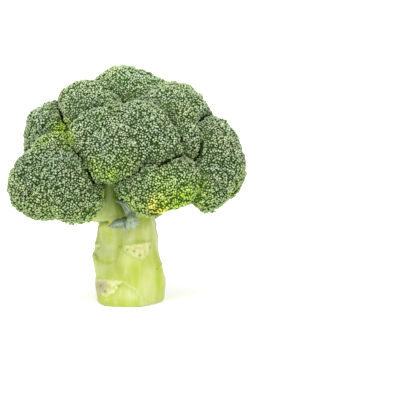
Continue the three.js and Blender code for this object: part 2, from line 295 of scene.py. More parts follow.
# Painted shade on the skin, as deep green under the head and below the front leaf.
PAINTED_SHADE_WASHES = [
    (-24, 58, 7, 5, 0.30),
    (-12, 63, 9, 5, 0.30),
    (-7, 50, 6, 8, 0.16),
    (-8, 42, 3, 8, 0.16),
    (-20, 48, 12, 12, 0.17),
    (-6, 24, 14, 12, 0.15),
    (-60, 52, 12, 8, 0.12),
    (58, 54, 12, 8, 0.12),
]
LUMPS = [
    (-16, 42, 8, 11, 0.8),
    (1, 45.7, 5, 4.5, 0.5),
    (-2, 35, 6, 6, 0.5),
    (16, 50, 5, 9, 0.5),
    (50, 36, 8, 12, 0.7),
    (-50, 32, 8, 12, 0.7),
    (8, 20, 9, 11, 0.4),
]
# Across a scar's edge, where a number below zero lies outside it: where the cream sets in and is full,
# a rim with a lime line on it, each with its place and width, and a dip inside.
SCAR_CREAM = (-0.1, 0.7)
SCAR_RIM = 0.35
SCAR_RIM_PLACE = -0.3
SCAR_RIM_WIDTH = 1.1
SCAR_LIME = 0.7
SCAR_LIME_PLACE = -0.4
SCAR_LIME_WIDTH = 0.6
SCAR_DEPTH = 0.4
SCAR_DIP = (0.2, 1.6)
SCAR_DOT = 0.85
# The brown in a scar: its middle, how flat it is, and how far out it is full and has faded.
BRUISE_MIDDLE = (-1.5, -4.5)
BRUISE_FLATNESS = 1.1
BRUISE_FADE = (1.5, 7.5)
BRUISE_RAGGEDNESS = 3
RIDGE_RAGGEDNESS = 0.5
RIDGE_LIME_LOSS = 0.7
# The skin above the cut end lifts off the floor past each of these distances, at a slope.
FOOT_LEFT = (-15, 0.30)
FOOT_RIGHT = (8, 0.11)
# The cut end: the heights and facing that belong to it, then its green rim, its green ring and its
# ring of dots. The rim and the ring are placed by shares of the stalk's radius.
CUT_HEIGHT = 0.9
CUT_FACING = -0.6
CUT_RIM = (0.88, 1.0)
CUT_RIM_GREEN = 0.5
CUT_RING_PLACE = 0.76
CUT_RING_WIDTH = 0.05
CUT_RING_GREEN = 0.2
FOOT_BUNDLES = 24
FOOT_BUNDLE_RING = 16.5
FOOT_BUNDLE_SHIFT_ROUND = 0.3
FOOT_BUNDLE_SHIFT_OUT = 0.6
FOOT_BUNDLE_SIZE = 1.1
FOOT_BUNDLE_DOT = 0.4

# Leaves: where each leaves the stalk, which way it sets off, how it ends, its widths along its
# length, how much its halves fold up, how pale it is, and how dark its first edge is: painted shade
# where that edge curls under.
LEAVES = {
    "leaf_front": (
        (2.4, -23, 57.5), (-5, -30, 58), (-12.1, -27, 55),
        (6, 7.5, 6.8, 5, 1), 0.5, 0.6, 1.0,
    ),
    "leaf_front_upper": (
        (2.6, -22, 61), (3.5, -31, 69), (-5.5, -32, 72.5),
        (3, 7, 6.6, 4.2, 1), 0.4, 0.2, 0.6,
    ),
    "leaf_back_right": (
        (9, 18, 52), (14.5, 30, 55), (15.5, 43, 60),
        (4, 9, 13, 11, 2), 0.35, 0.1, 0.0,
    ),
    "leaf_back_left": (
        (-6, 19, 50), (-12, 31, 54), (-14, 44, 61),
        (4, 10, 14, 12, 2), 0.35, 0.1, 0.0,
    ),
}
# The end of the front leaf, folded down over it.
FRONT_FOLD = ((4, -22, 66), (3.6, -32, 62), (4.6, -28.5, 54.5), (1, 4, 7, 10, 9), -0.4, 0.55, 0.0)
LEAF_THICKNESS = 0.7 * MM
LEAF_COLUMNS = 12
LEAF_ROWS = 26
LEAF_RAGGEDNESS = 0.22
LEAF_CRUMPLE = 0.9
LEAF_FINE_CRUMPLE = 0.6
# How fine the noise on a leaf is, along and across it.
LEAF_JAG_SCALE = 2.2
LEAF_TEAR_SCALES = (9, 1)
LEAF_CRUMPLE_SCALES = (5, 1.3)
LEAF_FINE_CRUMPLE_SCALES = (11, 2.6)
# Veins: how many on each side, how wide the midrib and they are, how they slant, and how far they rise.
LEAF_SIDE_VEINS = 6
MIDRIB_WIDTH = 0.09
SIDE_VEIN_WIDTH = 0.13
SIDE_VEIN_SLANT = 0.32
SIDE_VEIN_STRENGTH = 0.7
MIDRIB_RISE = 0.35
SIDE_VEIN_RISE = 0.12


# Small tools for meshes


def piece_from(shape, name):
    """A new object in the scene from a bmesh, which is used up."""
    mesh = bpy.data.meshes.new(name)
    shape.to_mesh(mesh)
    shape.free()
    piece = bpy.data.objects.new(name, mesh)
    bpy.context.scene.collection.objects.link(piece)
    return piece


def node_shape(node):
    """A bmesh with a node's shape, its loose triangles merged."""
    shape = bmesh.new()
    shape.from_mesh(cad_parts[node].data)
    bmesh.ops.remove_doubles(shape, verts=shape.verts, dist=0.001 * MM)
    return shape


def apply_modifiers(piece):
    """Makes what the modifiers show the piece's own mesh."""
    graph = bpy.context.evaluated_depsgraph_get()
    mesh = bpy.data.meshes.new_from_object(piece.evaluated_get(graph))
    piece.modifiers.clear()
    piece.data = mesh


def remesh(piece, voxel, smoothing):
    """Fuses a piece's shapes into one skin of even squares and smooths it."""
    skin = piece.modifiers.new("skin", "REMESH")
    skin.mode = "VOXEL"
    skin.voxel_size = voxel
    smooth = piece.modifiers.new("smooth", "SMOOTH")
    smooth.factor = 0.5
    smooth.iterations = smoothing
    apply_modifiers(piece)


def read_points(mesh):
    """A mesh's points and their normals, as arrays."""
    points = np.empty(len(mesh.vertices) * 3, np.float32)
    normals = np.empty(len(mesh.vertices) * 3, np.float32)
    mesh.vertices.foreach_get("co", points)
    mesh.vertex_normals.foreach_get("vector", normals)
    return points.reshape(-1, 3).astype(float), normals.reshape(-1, 3).astype(float)


def read_triangles(mesh):
    mesh.calc_loop_triangles()
    corners = np.empty(len(mesh.loop_triangles) * 3, np.int32)
    mesh.loop_triangles.foreach_get("vertices", corners)
    return corners.reshape(-1, 3)


def write_points(mesh, points):
    mesh.vertices.foreach_set("co", points.astype(np.float32).ravel())
    mesh.update()


def store(mesh, name, values):
    """Keeps one number for each point of a mesh, for its material to read."""
    attribute = mesh.attributes.new(name, "FLOAT", "POINT")
    attribute.data.foreach_set("value", np.asarray(values, np.float32))


def finish_piece(piece, material, slot, *nodes):
    """Gives a piece its material and hides the nodes it stands for. The slot is not used."""
    piece.data.shade_smooth()
    piece.data.materials.clear()
    piece.data.materials.append(material)
    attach(piece, "root")
    if nodes:
        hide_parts(*nodes)


def unit(vectors):
    return vectors / np.maximum(np.linalg.norm(vectors, axis=-1, keepdims=True), 1e-12)


def ease(low, high, values):
    """Goes softly from 0 at low to 1 at high."""
    share = np.clip((values - low) / (high - low), 0, 1)
    return share * share * (3 - 2 * share)


def rough_field(points, scale, offset=0.0):
    """Soft noise from about -1 to 1 at each point, with patches of about 1 / scale metres."""
    return np.array([noise.noise(Vector(p) * scale + Vector((offset, 0, 0))) for p in points])


def near_spots(points, spots):
    """How much each point belongs to the spots, from 0 to 1."""
    share = np.zeros(len(points))
    for x, y, z, reach, strength in spots:
        apart = np.linalg.norm(points - np.array((x, y, z)) * MM, axis=1)
        share = np.maximum(share, strength * np.exp(-((apart / (reach * MM)) ** 2)))
    return share


def tree_of(nodes):
    """The faces of several nodes, for finding what a ray meets."""
    points, triangles, start = [], [], 0
    for node in nodes:
        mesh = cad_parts[node].data
        points.append(read_points(mesh)[0])
        triangles.append(read_triangles(mesh) + start)
        start += len(mesh.vertices)
    return BVHTree.FromPolygons(np.concatenate(points).tolist(), np.concatenate(triangles).tolist())


# Small tools for materials


def add(tree, kind, inputs=None, **settings):
    """Adds a node. An input is another node's socket or a plain value."""
    made = tree.nodes.new(kind)
    for name, value in settings.items():
        setattr(made, name, value)
    for name, value in (inputs or {}).items():
        if isinstance(value, bpy.types.NodeSocket):
            tree.links.new(value, made.inputs[name])
        else:
            made.inputs[name].default_value = value
    return made


def mix(tree, share, first, second, blend="MIX"):
    """The colour between two, by a share from 0 to 1. Index 6 and 7 are the node's colour inputs."""
    sides = {0: share, 6: first, 7: second}
    return add(tree, "ShaderNodeMix", sides, data_type="RGBA", blend_type=blend).outputs[2]


def times(tree, first, second):
    return add(tree, "ShaderNodeMath", {0: first, 1: second}, operation="MULTIPLY").outputs[0]


def stored(tree, name):
    return add(tree, "ShaderNodeAttribute", attribute_name=name).outputs["Fac"]


def ramp(tree, value, stops):
    """A colour ramp. Each stop is a place from 0 to 1 and a colour."""
    made = add(tree, "ShaderNodeValToRGB", {"Fac": value})
    band = made.color_ramp
    while len(band.elements) < len(stops):
        band.elements.new(0.5)
    for element, (place, colour) in zip(band.elements, stops):
        element.position = place
        element.color = (*colour, 1)
    return made.outputs["Color"]


def patches_group():
    """Soft random patches: a mask that goes from 0 to 1 between two levels of noise."""
    tree = bpy.data.node_groups.new("soft patches", "ShaderNodeTree")
    for name, value in (("Scale", 100.0), ("Stretch", 1.0), ("Low", 0.4), ("High", 0.6)):
        tree.interface.new_socket(name, in_out="INPUT", socket_type="NodeSocketFloat").default_value = value
    tree.interface.new_socket("Mask", in_out="OUTPUT", socket_type="NodeSocketFloat")
    given = tree.nodes.new("NodeGroupInput").outputs
    place = add(tree, "ShaderNodeTexCoord").outputs["Object"]
    stretch = add(tree, "ShaderNodeCombineXYZ", {"X": 1.0, "Y": 1.0, "Z": given["Stretch"]}).outputs[0]
    place = add(tree, "ShaderNodeVectorMath", {0: place, 1: stretch}, operation="MULTIPLY").outputs[0]
    grain = add(tree, "ShaderNodeTexNoise", {"Vector": place, "Scale": given["Scale"], "Detail": 3.0})
    levels = {"Value": grain.outputs["Fac"], "From Min": given["Low"], "From Max": given["High"]}
    mask = add(tree, "ShaderNodeMapRange", levels, interpolation_type="SMOOTHSTEP").outputs["Result"]
    result = tree.nodes.new("NodeGroupOutput")
    tree.links.new(mask, result.inputs["Mask"])
    return tree


PATCHES = patches_group()


def patches(tree, scale, low, high, stretch=1.0):
    values = {"Scale": scale, "Stretch": stretch, "Low": low, "High": high}
    return add(tree, "ShaderNodeGroup", values, node_tree=PATCHES).outputs["Mask"]


def start_material(name):
    material = bpy.data.materials.new(name)
    material.use_nodes = True
    return material, material.node_tree, material.node_tree.nodes["Principled BSDF"]


def connect(tree, shader, **inputs):
    for name, value in inputs.items():
        tree.links.new(value, shader.inputs[name.replace("_", " ")])


# Materials


def bud_material():
    """Closed buds: dark green hollows that are partly painted shade, grey-green waxy tips, and yellow-green
    where they are young.
    """
    material, tree, shader = start_material("buds")
    tip = stored(tree, "tip")
    grown = ramp(tree, tip, [
        (0.0, (0.028, 0.068, 0.007)),
        (0.3, (0.132, 0.202, 0.048)),
        (0.6, (0.240, 0.310, 0.148)),
        (1.0, (0.348, 0.382, 0.292)),
    ])
    young = ramp(tree, tip, [
        (0.0, (0.045, 0.120, 0.003)),
        (0.3, (0.140, 0.260, 0.006)),
        (0.6, (0.270, 0.395, 0.025)),
        (1.0, (0.350, 0.480, 0.080)),
    ])
    overripe = ramp(tree, tip, [
        (0.0, (0.160, 0.190, 0.006)),
        (0.5, (0.480, 0.380, 0.045)),
        (1.0, (0.720, 0.580, 0.160)),
    ])
    colour = mix(tree, stored(tree, "youth"), grown, young)
    colour = mix(tree, stored(tree, "overripe"), colour, overripe)
    blue = mix(tree, patches(tree, 55.0, 0.42, 0.62), (1.0, 1.0, 1.0, 1), (0.92, 0.98, 1.06, 1))
    colour = mix(tree, 1.0, colour, blue, "MULTIPLY")
    # The tone holds random lightness, lighter buds high up, and painted shade in creases and at seams.
    tone = stored(tree, "tone")
    levels = {"Value": tone, "To Min": 0.55, "To Max": 1.35}
    lightness = add(tree, "ShaderNodeMapRange", levels, clamp=False).outputs[0]
    colour = mix(tree, 1.0, colour, lightness, "MULTIPLY")
    rough = add(tree, "ShaderNodeMapRange", {"Value": tip, "To Min": 0.85, "To Max": 0.6}).outputs[0]
    connect(tree, shader, Base_Color=colour, Roughness=rough)
    shader.inputs["Specular IOR Level"].default_value = 0.15
    return material


def stalk_material():
    """Pale yellow-green skin with fibres, a whitish bloom that is partly painted sheen, cream scars and a
    cut end, with painted highlights and painted shade.
    """
    material, tree, shader = start_material("stalk")
    green = stored(tree, "green")
    scar = stored(tree, "scar")
    fibres = patches(tree, 900.0, 0.35, 0.68, 0.06)
    blotches = patches(tree, 80.0, 0.40, 0.62, 0.6)
    colour = mix(tree, blotches, (0.372, 0.412, 0.046, 1), (0.476, 0.490, 0.115, 1))
    colour = mix(tree, patches(tree, 130.0, 0.50, 0.72, 0.6), colour, (0.465, 0.515, 0.235, 1))
    colour = mix(tree, patches(tree, 110.0, 0.55, 0.70, 0.4), colour, (0.345, 0.425, 0.032, 1))
    # Whitish bloom streaks, partly painted sheen.
    bloom = times(tree, patches(tree, 330.0, 0.45, 0.70, 0.22), 0.5)
    colour = mix(tree, bloom, colour, (0.480, 0.530, 0.270, 1))
    # Pale: whitish bloom, partly painted sheen and light, and painted highlights along the ridges.
    colour = mix(tree, stored(tree, "pale"), colour, (0.455, 0.505, 0.220, 1))
    colour = mix(tree, stored(tree, "lime"), colour, (0.335, 0.410, 0.022, 1))
    streak = times(tree, fibres, 0.2)
    colour = mix(tree, streak, colour, (0.300, 0.370, 0.060, 1))
    # Deep green: the limbs near the head and the cut end's rim and ring, and painted shade under the head,
    # below the leaf and in the furrows.
    colour = mix(tree, green, colour, (0.100, 0.195, 0.006, 1))
    mottle = mix(tree, patches(tree, 420.0, 0.40, 0.66), (0.560, 0.565, 0.270, 1), (0.450, 0.475, 0.150, 1))
    colour = mix(tree, scar, colour, mottle)
    specks = times(tree, patches(tree, 1500.0, 0.66, 0.70), scar)
    colour = mix(tree, specks, colour, (0.300, 0.230, 0.100, 1))
    core = mix(tree, patches(tree, 60.0, 0.35, 0.65), (0.520, 0.560, 0.330, 1), (0.470, 0.520, 0.250, 1))
    colour = mix(tree, stored(tree, "cut"), colour, core)
    colour = mix(tree, times(tree, green, stored(tree, "cut")), colour, (0.200, 0.300, 0.030, 1))
    colour = mix(tree, stored(tree, "bruise"), colour, (0.330, 0.290, 0.175, 1))
    colour = mix(tree, stored(tree, "bundle"), colour, (0.140, 0.225, 0.006, 1))
    rough = mix(tree, scar, (0.42, 0.42, 0.42, 1), (0.7, 0.7, 0.7, 1))
    height = add(tree, "ShaderNodeBump", {"Height": fibres, "Strength": 0.25, "Distance": 0.25 * MM})
    connect(tree, shader, Base_Color=colour, Roughness=rough, Normal=height.outputs[0])
    shader.inputs["Specular IOR Level"].default_value = 0.4
    return material


def leaf_material():
    """Blue-grey leaf with a waxy bloom, pale veins, a few dark flecks and painted shade along its curled
    first edge.
    """
    material, tree, shader = start_material("leaf")
    vein = stored(tree, "vein")
    colour = mix(tree, patches(tree, 260.0, 0.40, 0.62), (0.110, 0.165, 0.100, 1), (0.210, 0.280, 0.190, 1))
    colour = mix(tree, vein, colour, (0.300, 0.370, 0.250, 1))
    colour = mix(tree, stored(tree, "pale"), colour, (0.400, 0.475, 0.320, 1))
    # Painted shade along the leaf's curled first edge.
    colour = mix(tree, stored(tree, "dark"), colour, (0.030, 0.075, 0.030, 1))
    colour = mix(tree, patches(tree, 700.0, 0.60, 0.70), colour, (0.070, 0.120, 0.055, 1))
    height = add(tree, "ShaderNodeBump", {"Height": vein, "Strength": 0.5, "Distance": 0.3 * MM})
    connect(tree, shader, Base_Color=colour, Normal=height.outputs[0])
    shader.inputs["Roughness"].default_value = 0.6
    return material


# Florets


def scatter(mesh, spacing, keep):
    """Even but random spots on a mesh, no two nearer than the spacing: their places and normals.
    keep says which of the tried spots may be used."""
    points, normals = read_points(mesh)
    a, b, c = read_triangles(mesh).T
    areas = 0.5 * np.linalg.norm(np.cross(points[b] - points[a], points[c] - points[a]), axis=1)
    tries = int(TRIES_PER_BUD * areas.sum() / spacing**2)
    face = draw.choice(len(areas), tries, p=areas / areas.sum())
    along, across = draw.random((2, tries, 1))
    folded = along + across > 1
    along = np.where(folded, 1 - along, along)
    across = np.where(folded, 1 - across, across)
    a, b, c = a[face], b[face], c[face]
    spots = points[a] + along * (points[b] - points[a]) + across * (points[c] - points[a])
    facing = unit((1 - along - across) * normals[a] + along * normals[b] + across * normals[c])
    usable = keep(spots, facing)
    spots, facing = spots[usable], facing[usable]
    taken = {}
    chosen = []
    beside = [(i, j, k) for i in (-1, 0, 1) for j in (-1, 0, 1) for k in (-1, 0, 1)]
    cells = np.floor(spots / spacing).astype(int).tolist()
    for index, ((x, y, z), spot) in enumerate(zip(cells, spots.tolist())):
        crowded = False
        for i, j, k in beside:
            for other in taken.get((x + i, y + j, z + k), ()):
                apart = (other[0] - spot[0]) ** 2 + (other[1] - spot[1]) ** 2 + (other[2] - spot[2]) ** 2
                crowded = crowded or apart < spacing**2
        if not crowded:
            taken.setdefault((x, y, z), []).append(spot)
            chosen.append(index)
    return spots[chosen], facing[chosen]


def bud_shape():
    """One bud: its points for a radius of 1, its triangles, and how near the tip each point is."""
    shape = bmesh.new()
    bmesh.ops.create_uvsphere(shape, u_segments=BUD_SEGMENTS, v_segments=BUD_RINGS, radius=1)
    for point in shape.verts:
        point.co.z *= BUD_TOP if point.co.z > 0 else BUD_FOOT
    bmesh.ops.triangulate(shape, faces=shape.faces)
    points = np.array([point.co for point in shape.verts])
    triangles = np.array([[point.index for point in face.verts] for face in shape.faces])
    shape.free()
    return points, triangles, np.clip((points[:, 2] - BUD_DARK_BELOW) / (BUD_TOP - BUD_DARK_BELOW), 0, 1)


BUD_POINTS, BUD_TRIANGLES, BUD_TIP = bud_shape()


def anywhere(spots, facing):
    return np.ones(len(spots), bool)


def clump_levels(mesh):
    """For the clumps, then the bunches within them: a finder of the nearest, how far apart they are,
    their roots, how far each swells, and the width and depth of the creases."""
    levels = []
    for spacing, root, rise, unevenness, width, depth in np.array(CLUMPS) * MM:
        centres, facing = scatter(mesh, spacing, anywhere)
        finder = KDTree(len(centres))
        for index, centre in enumerate(centres):
            finder.insert(centre, index)
        finder.balance()
        rises = draw.normal(rise, unevenness, len(centres))
        levels.append((finder, spacing, centres - facing * root, rises, width, depth))
    return levels


def lay_on_clumps(points, facing, levels, others):
    """Moves points out on the clumps, and in at the creases and at the seams beside other florets.
    Also says which way each leans and how far it lies in the shade of a crease and of a seam."""
    apart = [others.find_nearest(point, SHADE_REACH)[3] for point in points.tolist()]
    apart = np.array([SHADE_REACH if reach is None else reach for reach in apart])
    seam = 1 - ease(0, SEAM_WIDTH, apart)
    shade = 1 - ease(0, SHADE_REACH, apart)
    lift = -SEAM_DEPTH * seam * (1 + SEAM_UNEVENNESS * rough_field(points, SEAM_SCALE, 4.0))
    lean = facing
    deepest = np.zeros(len(points))
    for finder, spacing, roots, rises, width, depth in levels:
        pairs = [finder.find_n(point, 2) for point in points.tolist()]
        own = np.array([pair[0][1] for pair in pairs])
        near = np.array([pair[0][2] for pair in pairs])
        gap = np.array([pair[1][2] for pair in pairs]) - near
        crease = 1 - ease(0, width, gap)
        lift = lift + rises[own] * (1 - (near / spacing) ** 2) - depth * crease
        lean = lean + unit(points - roots[own])
        deepest = np.maximum(deepest, crease)
    return points + facing * lift[:, None], unit(lean), deepest, shade


def bud_looks(places, facing, outward, crease, shade):
    """How young, how overripe and how light each bud is, with shade painted in as darker buds in creases
    and beside other florets.
    """
    count = len(places)
    height = places[:, 2] / MM
    rim = ease(*RIM_FACING, facing @ outward) * RIM_YOUTH
    under = ease(*UNDERSIDE_FACING, facing[:, 2]) * UNDERSIDE_YOUTH
    patchy = PATCH_YOUTH - PATCH_YOUTH_LOSS * ease(*PATCH_YOUTH_FADE, height)
    patchy = patchy * ease(*PATCH_LEVELS, rough_field(places, PATCH_SCALE))
    youth = np.maximum(np.maximum(rim, under), patchy) * draw.uniform(*YOUTH_SHARE, count)
    spotted = near_spots(places, YOUNG_SPOTS)
    youth = np.maximum(youth, spotted * draw.uniform(*YOUNG_SPOT_SHARE, count))
    overripe = near_spots(places, OVERRIPE_SPOTS) * draw.uniform(*OVERRIPE_SHARE, count)
    tone = draw.normal(TONE, TONE_SPREAD, count)
    tone += TONE_PATCHES * rough_field(places, TONE_SCALE, 7.0)
    for start, end, amount in LIGHTER_UPWARDS:
        tone += amount * ease(start, end, height)
    # Painted shade: buds in creases and beside other florets are made darker.
    tone += YOUNG_LIGHTER * spotted - CREASE_PAINTED_SHADE * crease - SEAM_PAINTED_SHADE * shade
    return youth, overripe, np.clip(tone, 0, TONE_MOST)


def build_floret(node, material):
    """A floret: a dark core, partly painted shade, under a skin of buds, in clumps with soft creases
    between them.
    """
    core = piece_from(node_shape(node), f"{node}_buds")
    remesh(core, CORE_VOXEL, CORE_SMOOTHING)
    others = tree_of([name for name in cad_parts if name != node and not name.startswith("leaf")])

    def in_the_open(spots, facing):
        reach = OPEN_REACH * np.maximum(1 + rough_field(spots, OPEN_REACH_SCALE, 4.0), OPEN_REACH_LEAST)
        rays = zip(spots.tolist(), facing.tolist(), reach.tolist())
        return np.array([others.ray_cast(spot, way, far)[0] is None for spot, way, far in rays])

    levels = clump_levels(core.data)
    spots, facing = scatter(core.data, BUD_SPACING, in_the_open)
    grown = draw.random(len(spots)) > BUDS_MISSING
    spots, facing = spots[grown], facing[grown]
    places, lean, crease, shade = lay_on_clumps(spots, facing, levels, others)
    count = len(places)
    size = BUD_RADIUS * (1 + draw.normal(0, BUD_SIZE_SPREAD, count) - BUD_CREASE_LOSS * crease)
    lean = unit(lean + draw.normal(0, BUD_TILT, (count, 3)))
    side = unit(np.cross(lean, draw.normal(0, 1, (count, 3))))
    turned = np.stack([side, np.cross(lean, side), lean], axis=1)
    feet = places + facing * BUD_LIFT
    bud_points = (BUD_POINTS @ turned) * size[:, None, None] + feet[:, None]
    bud_triangles = BUD_TRIANGLES[None] + (np.arange(count) * len(BUD_POINTS))[:, None, None]

    core_points, core_facing = read_points(core.data)
    core_places, _, _, core_shade = lay_on_clumps(core_points, core_facing, levels, others)
    inset = CORE_INSET * (1 - CORE_INSET_SEAM_LOSS * core_shade)
    core_places = core_places - core_facing * inset[:, None]
    core_triangles = read_triangles(core.data)
    # The core is darker than the buds, partly painted shade in the gaps between them.
    start, end, amount = CORE_LIGHTER_UPWARDS
    core_tone = CORE_TONE + amount * ease(start, end, core_points[:, 2] / MM)
    core_youth = CORE_YOUTH * near_spots(core_places, YOUNG_SPOTS)
    outward = unit(np.mean(core_points, axis=0) - np.array(HEAD_HEART))
    youth, overripe, tone = bud_looks(places, facing, outward, crease, shade)

    each = len(BUD_POINTS)
    plain = np.zeros(len(core_places))
    mesh = bpy.data.meshes.new(core.name)
    points = np.concatenate([core_places, bud_points.reshape(-1, 3)])
    faces = np.concatenate([core_triangles, bud_triangles.reshape(-1, 3) + len(core_places)])
    mesh.from_pydata(points, [], faces)
    store(mesh, "tip", np.concatenate([plain, np.tile(BUD_TIP, count)]))
    store(mesh, "tone", np.concatenate([core_tone, np.repeat(tone, each)]))
    store(mesh, "youth", np.concatenate([core_youth, np.repeat(youth, each)]))
    store(mesh, "overripe", np.concatenate([plain, np.repeat(overripe, each)]))
    core.data = mesh
    finish_piece(core, material, "buds", node)


# Stalk


def wrap_round(way):
    """The nearest way round the stalk, from half a turn one way to half a turn the other."""
    turn = 2 * math.pi * STALK_RADIUS
    return (way + turn / 2) % turn - turn / 2


def near_line(way, height, points):
    """How far each place on the skin is from a line of points."""
    nearest = np.full(len(way), np.inf)
    for (a_way, a_height), (b_way, b_height) in zip(points, points[1:]):
        step = np.array((b_way - a_way, b_height - a_height))
        from_a = np.stack([wrap_round(way - a_way), height - a_height], axis=1)
        share = np.clip(from_a @ step / (step @ step), 0, 1)
        nearest = np.minimum(nearest, np.linalg.norm(from_a - share[:, None] * step, axis=1))
    return nearest


def wash(way, height, spots):
    """How strongly each place on the skin belongs to soft oval spots."""
    share = np.zeros(len(way))
    for at_way, at_height, wide, high, strength in spots:
        near = np.exp(-((wrap_round(way - at_way) / wide) ** 2) - ((height - at_height) / high) ** 2)
        share = np.maximum(share, strength * near)
    return share


def depth_inside(way, height, outline):
    """How far each place lies inside a closed outline. Outside it the number is below zero."""
    ring = outline + outline[:1]
    inside = np.zeros(len(way), bool)
    for (a_way, a_height), (b_way, b_height) in zip(ring, ring[1:]):
        between = (a_height > height) != (b_height > height)
        slope = (b_way - a_way) / ((b_height - a_height) or 1e-9)
        inside ^= between & (way < a_way + slope * (height - a_height))
    return np.where(inside, 1, -1) * near_line(way, height, ring)


def branchlets():
    """Tapering tubes that leave each limb half way and spread out under its floret."""
    data = bpy.data.curves.new("branchlets", "CURVE")
    data.dimensions = "3D"
    data.bevel_depth = MM
    data.bevel_resolution = 2
    data.use_fill_caps = True
    for node in sorted(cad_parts):
        if not node.startswith("floret"):
            continue
        points = read_points(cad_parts[node].data)[0]
        middle = Vector(points.mean(axis=0))
        lean = math.atan2(math.hypot(middle.x, middle.y), middle.z - FORK_LOW) / (math.pi / 2)
        root = Vector((0, 0, FORK_HIGH + (FORK_LOW - FORK_HIGH) * lean))
        facing = (middle - root).normalized().lerp(UP, LIMB_UPTURN).normalized()
        offsets = points - np.array(middle)
        depth = (offsets @ np.array(facing)).min()
        reach = np.percentile(np.linalg.norm(np.cross(offsets, facing), axis=1), FLORET_REACH_HOLDS)
        underside = middle + facing * depth
        side = facing.orthogonal().normalized()
        across = facing.cross(side)
        bend = underside - facing * (underside - root).length * LIMB_BEND
        fork = FORK_MIX[0] * root + FORK_MIX[1] * bend + FORK_MIX[2] * underside
        own = tree_of([node])
        for index in range(BRANCHLETS):
            angle = index * BRANCHLET_TURN + draw.uniform(-BRANCHLET_JITTER, BRANCHLET_JITTER)
            spread = reach * BRANCHLET_SPREAD * math.sqrt((index + 0.5) / BRANCHLETS)
            end = underside + (side * math.cos(angle) + across * math.sin(angle)) * spread
            below = end - facing * FLORET_SEARCH_BELOW
            if own.ray_cast(below, facing, FLORET_SEARCH_LENGTH)[0] is None:
                continue
            end = end + facing * BRANCHLET_SINK
            bend = end - facing * (end - fork).length * BRANCHLET_BEND
            spline = data.splines.new("POLY")
            spline.points.add(BRANCHLET_STEPS - 1)
            for step, point in enumerate(spline.points):
                share = step / (BRANCHLET_STEPS - 1)
                place = (1 - share) ** 2 * fork + 2 * share * (1 - share) * bend + share**2 * end
                point.co = (*place, 1)
                point.radius = BRANCHLET_THICK + (BRANCHLET_THIN - BRANCHLET_THICK) * share
    tubes = bpy.data.objects.new("branchlets", data)
    bpy.context.scene.collection.objects.link(tubes)
    mesh = bpy.data.meshes.new_from_object(tubes)
    bpy.data.objects.remove(tubes)
    return mesh


def grow_stalk():
    """The stalk, limbs and branchlets fused into one skin, smoothest on the column."""
    shape = node_shape("stalk")
    shape.from_mesh(branchlets())
    stalk = piece_from(shape, "stalk_skin")
    remesh(stalk, STALK_VOXEL, STALK_SMOOTHING)
    points = read_points(stalk.data)[0]
    trunk = stalk.vertex_groups.new(name="trunk")
    low = np.nonzero(points[:, 2] < SMOOTHING_TOP * MM)[0]
    weights = 1 - ease(TRUNK_TOP, SMOOTHING_TOP, points[low, 2] / MM)
    for index, weight in zip(low.tolist(), weights.tolist()):
        trunk.add([index], weight, "REPLACE")
    smooth = stalk.modifiers.new("trunk smooth", "SMOOTH")
    smooth.factor = 0.5
    smooth.iterations = TRUNK_SMOOTHING
    smooth.vertex_group = "trunk"
    apply_modifiers(stalk)
    return stalk


